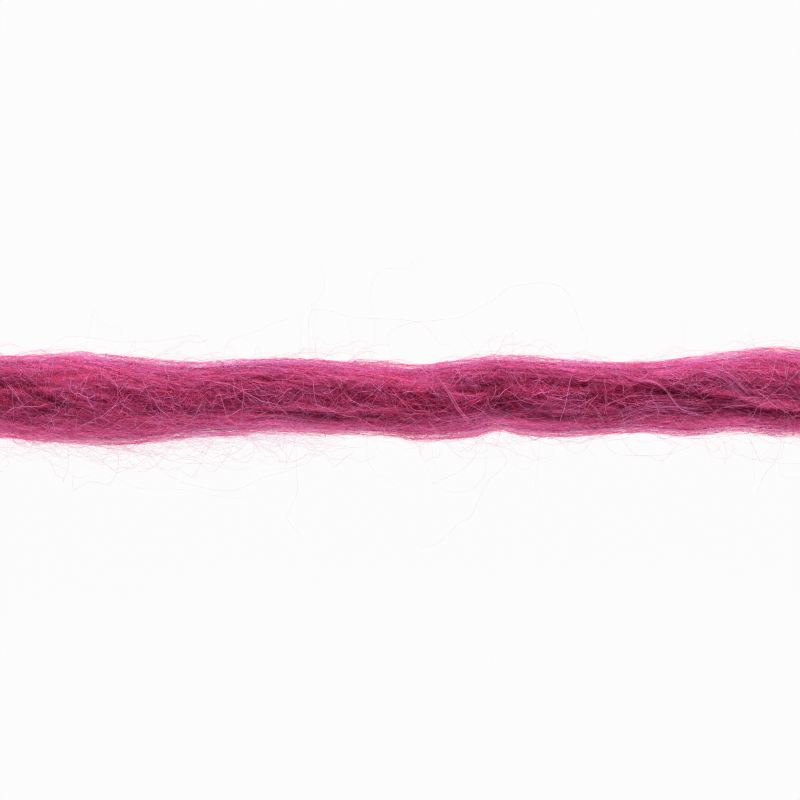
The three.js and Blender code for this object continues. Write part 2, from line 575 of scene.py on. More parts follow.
# How each loose fibre heads along its length: its own heading, a steady curl, and a long and a short wave
def drawHeadings(rng, form, places):
    n = len(places)
    heading = rng.normal(0, form["heading"], n)[:, None] + rng.normal(0, form["curl"], n)[:, None] * places
    heading = heading + wave(rng, n, form["wave"], form["waveLength"], places)
    return heading + wave(rng, n, form["wave"] * form["shortShare"], form["shortLength"], places)


# Slides fibres that would pass an end of the strand back inside it
def keepInside(along):
    half = strandForm["halfLength"]
    past = np.maximum(along.max(axis=1) - half, 0) - np.maximum(-half - along.min(axis=1), 0)
    return along - past[:, None]


# Waves are how many clumps lie round the strand; the bends carry them sideways along it
clumpForm = {
    "waves": (9, 14, 23, 31, 47, 60), "bend": (0.4, 1.2), "bendLength": (4, 9), "phase": (0, 6), "soften": 3,
}


# Tone of the small clumps that the fibres lie in, mostly from -1 to 1
def clumpTone(along, lay, seed):
    rng = np.random.default_rng(seed)
    total = 0
    for waves in clumpForm["waves"]:
        size, length = rng.uniform(*clumpForm["bend"]), rng.uniform(*clumpForm["bendLength"])
        bend = size * np.sin(along / length + rng.uniform(*clumpForm["phase"]))
        total = total + np.sin(np.radians(lay) * waves + bend + rng.uniform(*clumpForm["phase"]))
    return total / clumpForm["soften"]


angleRanges = {"upper": (-30, 210), "under": (210, 330)}


# Angles round the strand, a share of them on its upper side and flanks
def drawAngle(rng, count, upper):
    above = rng.uniform(0, 1, count) < upper
    upperAngles = rng.uniform(*angleRanges["upper"], count)
    return np.where(above, upperAngles, rng.uniform(*angleRanges["under"], count))


# The fibres that lie along the locks. Sizes are in mm and headings in degrees.
laidForm = {
    "pieces": 2, "count": 800, "points": 10, "length": (7, 20), "radius": (0.008, 0.014), "upper": 0.8,
    "pastEnd": (-0.1, 0.3),    # how far a cut fibre comes out of the strand's end
    "spread": 6, "wave": 5, "waveLength": (5, 14),
    "highest": 0.05, "deepest": -0.03, "depthPower": 1.5,
    "bridging": 0.45,          # the share that runs on over other locks, not under them
    "strayShare": 0.35, "strayHeight": 0.09,
    "ripple": 0.02, "rippleLength": (3, 9),
    "endSink": 0.25, "sideSink": 0.5, "taper": 0.75, "endPower": 8,
    # Tone grows with a fibre's height, as painted shade on the deeper ones, and towards the sides, as
    # painted side light
    "tone": 0.26, "toneSpread": 0.08, "paintedDepthShading": 0.9, "paintedSideLight": 0.6, "clumpTone": 0.02, "clumpSeed": 3,
}


def layFibres(form, seed):
    rng = np.random.default_rng(seed)
    n, k = form["count"], form["points"]
    half = strandForm["halfLength"]
    seedAlong = rng.uniform(-half, half, n)
    angle = drawAngle(rng, n, form["upper"])
    which = topLock(seedAlong, angle)[0]
    slopes = columnOf(locks, "endAngle") - columnOf(locks, "startAngle")
    slopes = slopes / (columnOf(locks, "to") - columnOf(locks, "from"))
    length = rng.uniform(*form["length"], n)
    start = seedAlong - rng.uniform(0, 1, n) * length
    stop = np.minimum(start + length, half + rng.uniform(*form["pastEnd"], n))
    start = np.maximum(start, -half - rng.uniform(*form["pastEnd"], n))
    length = stop - start
    s = np.linspace(0, 1, k) * length[:, None]
    heading = rng.normal(0, form["spread"], n)[:, None]
    heading = heading + wave(rng, n, form["wave"], form["waveLength"], s[:, :-1])
    angle = angle - (seedAlong - start) * slopes[which]
    along, angle = walk(start, angle, slopes[which], heading, length / (k - 1))
    own = np.zeros(along.shape)
    for i, lock in enumerate(locks):
        rows = which == i
        own[rows] = lockLevel(lock, along[rows], angle[rows])
    top = topLock(along, angle)[1]
    over = rng.uniform(0, 1, n)[:, None] < form["bridging"]
    reach = np.where(over, top, np.maximum(own, strandForm["coreReach"]))
    t = np.linspace(0, 1, k)
    depth = rng.uniform(0, 1, n)[:, None] ** form["depthPower"]
    depth = form["highest"] + (form["deepest"] - form["highest"]) * depth
    strays = rng.uniform(0, 1, n) < form["strayShare"]
    stray = np.where(strays, rng.exponential(form["strayHeight"], n), 0)[:, None] * np.sin(math.pi * t) ** 2
    lift = depth + stray + wave(rng, n, form["ripple"], form["rippleLength"], s) + relief(along, angle)
    lift = lift - form["endSink"] * nearEnds(t, form["endPower"]) - form["sideSink"] * sideShare(angle)
    radii = rng.uniform(*form["radius"], n)[:, None] * (1 - form["taper"] * nearEnds(t, form["endPower"]))
    middle = along[:, k // 2]
    lay = angle[:, k // 2] - strandForm["twist"] * middle
    tones = form["tone"] + form["toneSpread"] * rng.normal(0, 1, n)
    tones = tones + form["clumpTone"] * clumpTone(middle, lay, form["clumpSeed"])
    # Painted shade on fibres that lie deeper and painted side light at the flanks
    tones = tones + form["paintedDepthShading"] * lift.mean(axis=1) + form["paintedSideLight"] * sideShare(angle).mean(axis=1)
    return fibresOf(onStrand(along, angle, reach, lift), radii, tones)


# How many fibres lie across the strand, by where along it, in mm
tangles = table(
    "along amount",
    (-49, 0.8),
    (-21, 1.0),
    (-18, 0.3),
    (-12, 0.3),
    (-9, 1.0),
    (2, 0.9),
    (9, 0.6),
    (11, 0.35),
    (15, 0.4),
    (17, 1.2),
    (19, 1.0),
    (26, 0.7),
    (49, 0.6),
)
drawsForEach = 6  # places drawn for each fibre, of which some are dropped


# Draws places along the strand in proportion to the table of tangles, or evenly
def drawAlong(rng, count, evenly):
    half = strandForm["halfLength"]
    most = columnOf(tangles, "amount").max()
    drawn = rng.uniform(-half, half, count * drawsForEach)
    amount = most if evenly else np.interp(drawn, columnOf(tangles, "along"), columnOf(tangles, "amount"))
    return drawn[rng.uniform(0, most, len(drawn)) < amount][:count]


# What the crossing fibres and the fuzz share
crossShape = {
    "follow": 1, "upper": 0.8, "lengthPower": 1.6, "waveLength": (3, 9), "shortShare": 0.5,
    "shortLength": (1.5, 3.5), "above": 0.02, "ripple": 0.05, "rippleLength": (1, 4), "reliefShare": 0.6,
    "endSink": 0.15, "sinkPower": 6, "taper": 0.7, "taperPower": 8, "toneSpread": 0.30,
}
crossingForm = {
    **crossShape, "count": 2600, "points": 12, "length": (1.5, 7), "radius": (0.009, 0.021),
    "lift": (0.0, 0.25), "heading": 45, "wave": 18, "curl": 14, "tone": 0.38,
}
fuzzForm = {
    **crossShape, "pieces": 2, "count": 2700, "points": 8, "length": (0.8, 3.5), "radius": (0.008, 0.014),
    "lift": (0.0, 0.18), "heading": 50, "wave": 25, "curl": 16, "tone": 0.30,
}


def crossFibres(form, seed, evenly=False):
    rng = np.random.default_rng(seed)
    along = drawAlong(rng, form["count"], evenly)
    n, k = len(along), form["points"]
    angle = drawAngle(rng, n, form["upper"])
    shortest, longest = form["length"]
    length = rng.uniform(0, 1, n) ** form["lengthPower"] * (longest - shortest) + shortest
    s = np.linspace(0, 1, k) * length[:, None]
    along, angle = walk(along, angle, form["follow"], drawHeadings(rng, form, s[:, :-1]), length / (k - 1))
    along = keepInside(along)
    reach = topLock(along, angle)[1]
    t = np.linspace(0, 1, k)
    low, high = form["lift"]
    lift = low + (high - low) * rng.uniform(0, 1, n)[:, None] ** 2 * np.sin(math.pi * t) + form["above"]
    lift = lift + np.abs(wave(rng, n, form["ripple"], form["rippleLength"], s))
    lift = lift + form["reliefShare"] * relief(along, angle)
    lift = lift - form["endSink"] * nearEnds(t, form["sinkPower"])
    thin, thick = form["radius"]
    radii = (thin + (thick - thin) * rng.uniform(0, 1, n) ** 2)[:, None]
    radii = radii * (1 - form["taper"] * nearEnds(t, form["taperPower"]))
    tones = form["tone"] + form["toneSpread"] * rng.normal(0, 1, n)
    return fibresOf(onStrand(along, angle, reach, lift), radii, tones)


# Fibres that stand off the strand in arcs. Angle and spread say where round the strand their roots lie,
# in degrees, and reach is how far out they go, in mm.
arcNames = "from to angle spread count reach length"
haloRows = table(
    arcNames,
    (-49, 49, 0, 35, 330, 0.35, (2, 9)),
    (-49, 49, 180, 35, 330, 0.35, (2, 9)),
    (-49, 49, 90, 45, 200, 0.3, (2, 7)),
    (-49, -29, 5, 25, 60, 0.9, (3, 9)),
    (-22, -17, 5, 25, 20, 1.2, (2, 6)),
    (-10, 1, 5, 25, 40, 1.1, (2, 8)),
    (5, 20, 5, 25, 40, 0.8, (2, 7)),
    (24, 49, 5, 25, 50, 0.8, (2, 8)),
    (-36, -5, 178, 22, 300, 1.4, (3, 12)),
    (-49, -36, 178, 22, 40, 1.0, (3, 10)),
    (2, 16, 178, 25, 60, 0.9, (2, 7)),
    (16, 49, 178, 25, 70, 0.8, (2, 9)),
)
upperVeil = table(
    arcNames,
    (-49, 49, 2, 18, 280, 0.18, (5, 15)),
    (-49, 49, 26, 20, 120, 0.12, (4, 12)),
)
lowerVeil = table(
    arcNames,
    (-49, 49, 178, 18, 280, 0.18, (5, 15)),
    (-49, 49, 154, 20, 120, 0.12, (4, 12)),
)
upperFuzz = table(arcNames, (-49, 49, 30, 34, 2700, 0.20, (0.8, 4)))
lowerFuzz = table(arcNames, (-49, 49, 164, 30, 1750, 0.20, (0.8, 4)))

# What they all share. Out is the most that an arc stands out as a share of its length, or of longest times
# its row's reach if that is shorter.
arcShape = {
    "waveLength": (2, 6), "shortShare": 1, "shortLength": (1.2, 3), "leastArc": 0.55, "out": 0.4,
    "longest": 10, "ripple": 0.12, "rippleLength": (1.5, 4), "rootSink": 0.1, "taper": 0.75, "endPower": 8,
    "toneSpread": 0.2,
}
haloForm = {
    **arcShape, "points": 13, "radius": (0.004, 0.008), "heading": 35, "wave": 10, "curl": 12, "follow": 1,
    "droop": 0.25, "over": 0, "tone": 0.6,
}
# The edge fibres are painted paler than the rest of the loose wool, as painted light for the side light and
# the light from behind that pass through them
veilForm = {
    **arcShape, "points": 9, "radius": (0.009, 0.014), "heading": 15, "wave": 14, "curl": 2, "follow": 0.6,
    "droop": 0.1, "over": -0.34, "tone": 0.85,
}
edgeForm = {
    **arcShape, "points": 8, "radius": (0.010, 0.018), "heading": 40, "wave": 20, "curl": 12, "follow": 1,
    "droop": 0.1, "over": -0.26, "tone": 1.0,
}
# The lower edge's fibres are painted darker than the upper edge's, as painted shade, since the upper edge is
# lit more
lowerVeilForm = {**veilForm, "tone": 0.74}
lowerEdgeForm = {**edgeForm, "tone": 0.78}


def haloFibres(form, rows, seed):
    rng = np.random.default_rng(seed)
    k = form["points"]
    t = np.linspace(0, 1, k)
    fibres = []
    for row in rows:
        n = row["count"]
        length = rng.uniform(*row["length"], n)
        s = t * length[:, None]
        heading = drawHeadings(rng, form, s[:, :-1])
        start = rng.uniform(row["from"], row["to"], n) - length / 2
        angle = rng.normal(row["angle"], row["spread"], n)
        along, angle = walk(start, angle, form["follow"], heading, length / (k - 1))
        along = keepInside(along)
        arc = np.sin(math.pi * t * rng.uniform(form["leastArc"], 1, n)[:, None])
        most = form["out"] * np.minimum(length, form["longest"] * row["reach"])
        out = np.minimum(rng.exponential(row["reach"], n), most)[:, None] * arc
        out = out * (1 + wave(rng, n, form["ripple"], form["rippleLength"], s))
        lift = form["over"] + out - form["rootSink"] * (1 - t) ** form["endPower"]
        radii = rng.uniform(*form["radius"], n)[:, None]
        radii = radii * (1 - form["taper"] * nearEnds(t, form["endPower"]))
        path = onStrand(along, angle, topLock(along, angle)[1], lift + relief(along, angle))
        height = path[..., 2] - form["droop"] * np.maximum(lift, 0) * mm
        path[..., 2] = np.maximum(height, strandForm["clearance"] * mm)
        fibres += fibresOf(path, radii, form["tone"] + form["toneSpread"] * rng.normal(0, 1, n))
    return fibres


# Long stray fibres, read off the picture in pixels from where each leaves the strand
strays = [
    [(318, 366), (316, 350), (313, 336), (313, 324), (315, 314), (311, 305), (316, 300), (322, 292),
     (324, 280), (320, 263)],
    [(372, 362), (374, 345), (375, 330), (374, 315), (370, 305), (370, 289), (375, 276), (383, 268),
     (400, 268), (410, 267), (413, 260), (419, 256), (426, 259)],
    [(310, 362), (309, 340), (308, 322), (312, 310), (329, 310), (341, 314), (353, 317), (377, 318),
     (400, 319), (408, 320), (423, 321), (451, 318), (461, 317), (482, 306), (496, 298), (510, 287),
     (524, 284), (539, 282), (558, 284), (568, 292), (576, 309), (582, 326), (588, 342), (590, 356)],
    [(222, 362), (224, 352), (228, 341), (240, 336), (258, 330), (272, 323), (284, 319), (293, 316)],
    [(300, 360), (300, 340), (301, 330), (300, 320), (296, 312), (292, 305)],
    [(394, 362), (388, 342), (390, 332), (400, 326), (415, 322), (423, 324), (432, 332), (439, 343),
     (451, 346), (457, 358)],
    [(480, 358), (470, 342), (462, 332), (461, 324)],
    [(543, 360), (538, 347), (520, 345), (505, 341), (497, 336), (482, 333)],
    [(494, 360), (489, 340), (505, 335), (527, 326)],
    [(316, 362), (316, 337), (329, 345), (347, 340), (353, 350), (354, 364)],
    [(347, 364), (353, 342), (350, 330), (347, 319)],
    [(86, 356), (87, 340), (89, 324), (94, 309), (98, 317), (103, 324), (112, 327), (119, 326), (119, 340),
     (120, 356)],
    [(40, 358), (61, 338), (84, 337), (112, 341), (128, 342), (163, 340), (194, 335), (204, 342),
     (214, 360)],
    [(162, 364), (166, 350), (176, 345), (186, 337)],
    [(684, 360), (685, 332), (683, 322)],
    [(686, 360), (693, 350), (703, 347), (707, 358)],
    [(740, 354), (739, 345), (735, 326)],
    [(752, 354), (752, 342), (749, 332)],
    [(20, 442), (30, 447), (60, 456), (87, 467), (112, 477), (126, 484), (140, 489), (178, 490), (200, 494),
     (219, 497), (240, 499), (254, 494), (268, 488), (283, 481)],
    [(60, 440), (82, 455), (102, 468), (128, 470), (150, 462), (172, 458)],
    [(90, 440), (133, 452), (163, 455), (189, 456), (214, 466), (238, 470), (262, 462), (276, 436)],
    [(110, 442), (150, 452), (178, 463), (224, 462), (252, 452), (262, 432)],
    [(140, 442), (160, 470), (178, 481), (200, 488), (222, 491), (237, 490), (262, 478), (288, 471),
     (302, 462), (316, 453)],
    [(190, 436), (193, 450), (195, 463), (195, 479), (191, 474)],
    [(215, 434), (217, 453), (224, 466), (240, 468), (251, 477)],
    [(301, 430), (306, 440), (316, 452), (300, 466), (260, 471)],
    [(264, 432), (270, 448), (275, 461), (294, 462), (314, 449), (322, 432)],
    [(290, 432), (296, 452), (296, 473), (297, 489), (292, 505), (286, 519), (296, 532), (302, 541)],
    [(368, 430), (367, 458), (375, 472), (386, 480), (400, 489)],
    [(372, 430), (377, 448), (388, 458)],
    [(430, 436), (432, 445), (433, 458), (438, 471), (447, 476)],
    [(418, 436), (424, 461), (434, 484), (433, 499)],
    [(478, 430), (476, 448), (474, 458), (461, 471), (433, 484)],
    [(486, 430), (486, 470), (479, 484), (466, 492), (448, 492), (434, 484)],
    [(476, 430), (477, 445), (494, 447), (506, 457), (505, 466), (489, 481), (480, 499), (471, 518),
     (459, 524), (447, 537), (432, 547), (417, 548), (419, 543)],
    [(440, 436), (461, 457), (484, 458), (505, 456)],
    [(512, 430), (511, 445), (513, 461), (522, 470), (531, 466), (534, 455), (530, 432)],
    [(528, 432), (530, 443), (534, 454), (545, 463), (553, 453), (550, 432)],
    [(540, 434), (538, 473), (536, 486), (543, 504)],
    [(600, 430), (606, 444), (617, 454), (644, 456), (670, 454), (696, 443), (704, 430)],
    [(580, 432), (585, 445), (601, 462)],
    [(618, 430), (624, 438), (638, 449)],
    [(704, 430), (707, 445), (716, 463)],
    [(724, 428), (733, 440), (734, 452), (726, 459), (712, 455), (706, 440)],
    [(712, 430), (734, 452), (755, 459), (776, 463), (800, 464), (824, 462)],
    [(750, 430), (755, 461), (756, 476), (753, 489)],
    [(784, 432), (780, 453), (776, 463), (765, 478), (758, 499)],
    [(776, 432), (780, 463), (782, 474), (790, 478), (800, 478), (816, 474)],
]
# They lie at rootHeight by the strand and sink to the clearance further out, all in mm
strayForm = {
    "radius": (0.003, 0.006), "taper": 0.5, "taperPower": 6, "rootHeight": 3.0, "fall": 3.0,
    "clearance": 0.08, "tone": 0.7, "toneSpread": 0.15,
}


def strayFibres(form, rows, seed):
    rng = np.random.default_rng(seed)
    fibres = []
    for row in rows:
        along, side = fromPicture(*np.transpose(row))
        out = np.abs(side - atSections(along, "stray")) - atSections(along, "width") / 2
        height = form["rootHeight"] * np.exp(-np.maximum(out, 0) / form["fall"]) + form["clearance"]
        path = np.stack([along, side, height], axis=-1) * mm
        t = np.linspace(0, 1, len(row))
        radii = rng.uniform(*form["radius"]) * (1 - form["taper"] * t ** form["taperPower"])
        tone = form["tone"] + rng.normal(0, form["toneSpread"])
        fibres.append({"path": path, "radii": radii, "tone": tone})
    return fibres


# Single fibres that lie across the strand, read off the picture in pixels
laidAcross = [
    [(0, 376), (7, 380), (13, 384), (16, 389), (16, 400), (17, 409), (17, 418), (14, 426), (13, 434)],
    [(0, 421), (7, 413), (15, 408), (27, 406), (40, 406), (48, 404), (59, 402), (70, 399), (76, 394)],
    [(45, 377), (56, 377), (67, 371), (75, 370), (80, 366)],
    [(74, 370), (76, 378), (82, 384), (84, 386), (88, 380), (94, 376), (103, 375), (111, 376), (118, 378)],
    [(110, 381), (118, 386), (125, 388), (134, 389), (142, 389), (147, 385), (153, 382), (161, 385),
     (166, 386), (170, 381)],
    [(72, 437), (78, 426), (79, 416), (83, 410), (88, 408)],
    [(78, 432), (83, 426), (91, 422), (99, 418), (104, 416), (111, 410), (117, 405), (122, 397), (127, 392)],
    [(110, 390), (118, 398), (125, 405), (133, 410), (142, 417)],
    [(142, 397), (143, 393), (149, 386), (154, 384)],
    [(147, 389), (154, 397), (158, 404), (162, 409), (169, 414), (173, 421), (175, 424), (179, 420),
     (182, 418)],
    [(175, 424), (185, 419), (193, 418), (205, 416)],
    [(13, 372), (24, 372), (36, 371), (44, 372)],
    [(59, 402), (62, 408), (60, 413), (54, 417), (56, 424), (57, 432)],
    [(166, 362), (166, 370), (170, 376), (166, 384)],
    [(193, 374), (198, 379), (208, 380), (217, 382), (228, 384), (237, 388), (244, 392), (254, 397),
     (263, 402), (274, 404), (280, 409), (287, 416), (291, 424), (299, 432)],
    [(20, 413), (25, 406), (32, 401), (37, 397)],
    [(133, 434), (139, 429), (147, 422), (155, 416), (163, 413)],
    [(86, 426), (94, 422), (102, 424), (114, 429)],
    [(243, 378), (243, 386), (245, 394), (244, 405), (243, 416), (243, 424), (243, 434)],
    [(217, 386), (221, 397), (224, 406), (227, 416), (232, 422), (239, 426)],
    [(208, 388), (215, 387), (217, 392)],
    [(254, 394), (263, 395), (274, 394), (280, 396)],
    [(271, 396), (279, 405), (287, 414), (294, 421), (299, 432)],
    [(276, 401), (283, 396), (288, 390), (295, 388)],
    [(287, 362), (294, 370), (296, 374), (306, 376), (314, 382), (315, 388), (316, 397), (318, 405),
     (319, 413)],
    [(326, 365), (325, 372), (329, 376), (337, 378), (342, 382), (341, 388), (345, 394), (351, 400),
     (359, 404), (369, 406), (379, 408)],
    [(342, 382), (350, 381), (359, 380)],
    [(361, 402), (369, 396), (377, 389), (385, 382), (389, 378), (390, 370), (389, 363)],
    [(371, 405), (377, 396), (381, 389), (387, 384)],
    [(390, 370), (397, 376), (402, 384), (403, 389)],
    [(389, 384), (394, 389), (399, 396), (404, 401), (409, 406)],
    [(311, 402), (320, 405), (329, 408), (339, 413), (350, 416), (359, 417), (367, 422)],
    [(347, 416), (357, 418), (365, 421), (371, 424), (378, 428)],
    [(299, 413), (307, 407), (314, 402)],
    [(302, 418), (304, 426), (306, 434)],
    [(331, 426), (341, 424), (347, 418)],
    [(316, 394), (329, 393), (335, 389), (342, 384)],
    [(224, 416), (232, 414), (239, 410), (251, 407)],
    [(400, 398), (408, 404), (415, 410), (423, 410), (429, 413), (435, 417), (441, 422)],
    [(467, 420), (458, 428), (451, 433)],
    [(425, 421), (431, 422), (435, 429), (439, 434)],
    [(507, 370), (510, 377), (514, 388), (516, 396), (522, 401), (530, 404), (538, 404), (547, 404)],
    [(492, 377), (494, 374), (499, 371), (507, 370)],
    [(492, 377), (494, 384), (495, 390), (492, 397), (488, 404)],
    [(511, 384), (504, 389), (499, 394), (494, 398)],
    [(453, 392), (454, 386), (459, 380), (462, 374)],
    [(462, 389), (462, 394), (466, 398), (470, 401)],
    [(468, 410), (471, 405), (478, 401), (483, 398)],
    [(470, 406), (480, 410), (488, 416), (496, 420), (506, 424)],
    [(574, 371), (570, 381), (568, 390), (566, 401), (564, 410), (561, 418), (559, 429)],
    [(535, 386), (539, 388), (542, 392), (547, 396), (550, 402)],
    [(542, 378), (551, 384), (558, 386), (566, 392)],
    [(546, 396), (555, 398), (565, 400), (578, 400), (587, 402), (594, 408), (601, 416), (605, 424)],
    [(603, 374), (604, 384), (604, 393), (605, 402), (604, 413), (601, 424)],
    [(579, 376), (579, 381), (587, 382), (594, 378), (599, 374)],
    [(593, 380), (595, 388), (597, 394), (591, 401), (587, 408), (583, 417), (577, 429)],
    [(577, 392), (579, 397), (587, 401)],
    [(400, 396), (408, 392), (417, 392)],
    [(416, 375), (415, 384), (408, 390)],
    [(428, 385), (435, 393), (443, 401), (447, 408)],
    [(516, 380), (520, 374), (529, 373)],
    [(603, 377), (604, 388), (605, 398), (604, 406), (606, 416), (610, 422)],
    [(590, 377), (597, 374), (605, 372), (610, 373)],
    [(614, 374), (619, 381), (623, 386), (623, 392), (624, 397)],
    [(625, 385), (633, 384), (641, 380)],
    [(645, 385), (644, 392), (648, 398), (653, 402), (660, 406)],
    [(656, 394), (658, 400), (662, 404)],
    [(688, 384), (693, 389), (700, 396), (704, 404), (709, 409), (716, 416), (723, 422)],
    [(715, 413), (721, 409), (731, 407), (740, 407), (749, 407)],
    [(745, 422), (751, 417), (755, 410), (760, 405), (769, 403)],
    [(735, 394), (741, 397), (749, 396), (759, 397)],
    [(751, 385), (756, 392), (763, 397), (771, 405), (780, 412), (788, 417), (796, 424)],
    [(781, 355), (783, 365), (783, 374), (782, 384)],
    [(759, 365), (765, 361), (775, 361), (781, 363)],
    [(724, 369), (732, 370), (743, 369), (753, 369), (764, 369), (771, 371), (776, 376), (777, 381)],
    [(676, 365), (689, 364), (702, 365), (717, 367), (729, 371), (737, 375), (744, 380), (751, 385)],
    [(788, 417), (783, 410), (777, 409), (768, 408)],
    [(590, 405), (595, 410), (598, 417), (603, 424), (607, 429)],
    [(613, 424), (617, 416), (623, 410), (630, 405)],
    [(617, 426), (625, 422), (634, 420), (644, 417), (657, 414)],
    [(757, 417), (758, 422), (763, 426)],
]
# Bundles of fibres that lie together, read the same way, with their spread in pixels
bundles = [
    {"count": 8, "spread": 1.0, "radius": (0.014, 0.022), "path": [
        (436, 374), (440, 381), (447, 390), (452, 398), (458, 408), (463, 414), (468, 420), (476, 425)
    ]},
    {"count": 7, "spread": 0.6, "radius": (0.016, 0.024), "path": [
        (610, 373), (621, 374), (629, 377), (637, 380), (646, 380), (654, 382), (661, 386), (666, 390),
        (670, 397), (676, 405), (682, 410), (693, 413), (701, 416), (709, 419)
    ]},
    {"count": 14, "spread": 4.5, "radius": (0.008, 0.013), "path": [
        (251, 424), (260, 421), (275, 418), (295, 420), (320, 423), (345, 425)
    ]},
    {"count": 18, "spread": 4.5, "radius": (0.008, 0.013), "path": [
        (614, 424), (630, 415), (650, 409), (673, 409), (690, 411), (710, 414)
    ]},
    {"count": 24, "spread": 4.5, "radius": (0.008, 0.014), "path": [
        (684, 365), (704, 367), (724, 374), (737, 386), (748, 396)
    ]},
    {"count": 14, "spread": 4.5, "radius": (0.008, 0.013), "path": [
        (437, 427), (455, 423), (475, 420), (494, 417), (512, 412)
    ]},
]
# Jitter moves a single fibre as a bundle's spread does its fibres, and drift is the share of it that is
# added from point to point. Widest is how near the outline a fibre may lie, as a share of the half width.
acrossForm = {
    "radius": (0.019, 0.028), "jitter": 0.5, "drift": 0.15, "widest": 0.99, "lift": (0.10, 0.25),
    "liftPower": 4, "endSink": 0.05, "taper": 0.6, "endPower": 6, "tone": 0.7, "toneSpread": 0.15,
}


def acrossFibres(form, singles, groups, seed):
    rng = np.random.default_rng(seed)
    rows = [(path, form["radius"], form["jitter"]) for path in singles]
    for group in groups:
        rows += [(group["path"], group["radius"], group["spread"])] * group["count"]
    fibres = []
    for path, radius, spread in rows:
        points = np.array(path, float)
        k = len(points)
        points = points + rng.normal(0, spread, 2)
        points = points + np.cumsum(rng.normal(0, form["drift"] * spread, (k, 2)), axis=0)
        along, side = fromPicture(*points.T)
        across = (side - atSections(along, "stray")) / (atSections(along, "width") / 2)
        angle = np.degrees(np.arccos(np.clip(across, -form["widest"], form["widest"])))
        t = np.linspace(0, 1, k)
        lift = rng.uniform(*form["lift"]) * (1 - nearEnds(t, form["liftPower"]))
        lift = lift - form["endSink"] * nearEnds(t, form["endPower"])
        path = onStrand(along, angle, topLock(along, angle)[1], lift + relief(along, angle))
        radii = rng.uniform(*radius) * (1 - form["taper"] * nearEnds(t, form["endPower"]))
        tone = form["tone"] + rng.normal(0, form["toneSpread"])
        fibres.append({"path": path, "radii": radii, "tone": tone})
    return fibres


# Short fibre ends that fill each cut end. Shares and taper are for a fibre's root, middle and tip: how far
# out in the section it lies, and how thick it is.
brushForm = {
    "count": 500, "depth": 0.9, "uneven": (-0.35, 0.25), "wobble": 2, "shares": (0.94, 0.95, 0.97),
    "radius": (0.018, 0.026), "taper": (1, 1, 0.6), "tone": 0.45, "toneSpread": 0.15,
}


def brushFibres(form, seed):
    rng = np.random.default_rng(seed)
    n = form["count"]
    fibres = []
    for end in (-1, 1):
        tip = end * (strandForm["halfLength"] + rng.uniform(*form["uneven"], n))
        along = np.stack([tip - end * form["depth"], tip - end * form["depth"] / 2, tip], axis=1)
        angle = rng.uniform(0, fullTurn, n)[:, None]
        angle = angle + np.cumsum(rng.normal(0, form["wobble"], along.shape), axis=1)
        share = np.sqrt(rng.uniform(0, 1, n))[:, None] * np.array(form["shares"])
        radii = rng.uniform(*form["radius"], n)[:, None] * np.array(form["taper"])
        path = onStrand(along, angle, share * topLock(along, angle)[1], 0)
        fibres += fibresOf(path, radii, form["tone"] + form["toneSpread"] * rng.normal(0, 1, n))
    return fibres


bodyWebs = table(
    "turn apart swirl curl wide patches level",
    (-72, 2.4, 4.5, 1.8, 0.13, 0.45, 0.34),
    (-48, 2, 4.5, 1.6, 0.12, 0.5, 0.32),
    (-30, 1.7, 4, 1.5, 0.11, 0.5, 0.3),
    (-12, 1.4, 4, 1.5, 0.11, 0.5, 0.28),
    (14, 1.5, 4, 1.5, 0.11, 0.5, 0.28),
    (33, 1.8, 4.5, 1.6, 0.12, 0.45, 0.3),
    (52, 2.1, 4.5, 1.7, 0.12, 0.5, 0.32),
    (78, 2.6, 4.5, 1.9, 0.13, 0.4, 0.34),
    (-40, 0.8, 3.5, 1.1, 0.12, 0.7, 0.18),
    (-5, 0.6, 3.5, 1, 0.11, 0.8, 0.16),
    (25, 0.75, 3.5, 1.1, 0.11, 0.7, 0.18),
    (60, 0.9, 3.5, 1.2, 0.12, 0.6, 0.18),
)
bodyFinish = {
    "deep": (0.52, 0.021, 0.100), "pale": (0.92, 0.205, 0.55), "rough": (0.7, 0.95), "pattern": "lay",
    "stretch": (0.1, 1, 1), "fleckScale": 7, "fleck": 0.10, "grainScale": 16, "bump": 0.3,
    "bumpHeight": 0.02, "sheen": 0.5, "through": 0, "webs": bodyWebs,
}
fibreFinish = {
    "pattern": "Object", "stretch": (1, 1, 1), "grainScale": 20000, "bump": 0.2, "bumpHeight": 0.004,
    "sheen": 0.1,
}
laidFinish = {
    **fibreFinish, "deep": (0.56, 0.028, 0.125), "pale": (0.86, 0.28, 0.71), "rough": (0.45, 0.7),
    "fleckScale": 3000, "fleck": 0.14, "through": 0.5,
}
# The loose fibres are painted paler than the laid ones, as painted light for the light that reaches and
# passes thin fibres standing free
looseFinish = {
    **fibreFinish, "deep": (1.0, 0.092, 0.33), "pale": (1.0, 0.60, 0.97), "rough": (0.4, 0.65),
    "fleckScale": 2500, "fleck": 0.22, "through": 0.52,
}
bodyWool = makeWool("bodyWool", bodyFinish)
laidWool = makeWool("laidWool", laidFinish)
looseWool = makeWool("looseWool", looseFinish)

body = makeBody(bodyForm)
body.data.materials.append(bodyWool)
print("body made")
# Where the random draws of each piece start
seeds = {
    "laidFibres": 20, "crossingFibres": 40, "fuzzFibres": 45, "strayFibres": 60, "acrossFibres": 65,
    "cutEnds": 70,
}
arcPieces = table(
    "name form rows seed",
    ("haloFibres", haloForm, haloRows, 50),
    ("upperEdgeFibres", veilForm, upperVeil, 55),
    ("lowerEdgeFibres", lowerVeilForm, lowerVeil, 56),
    ("upperEdgeFuzz", edgeForm, upperFuzz, 57),
    ("lowerEdgeFuzz", lowerEdgeForm, lowerFuzz, 58),
)

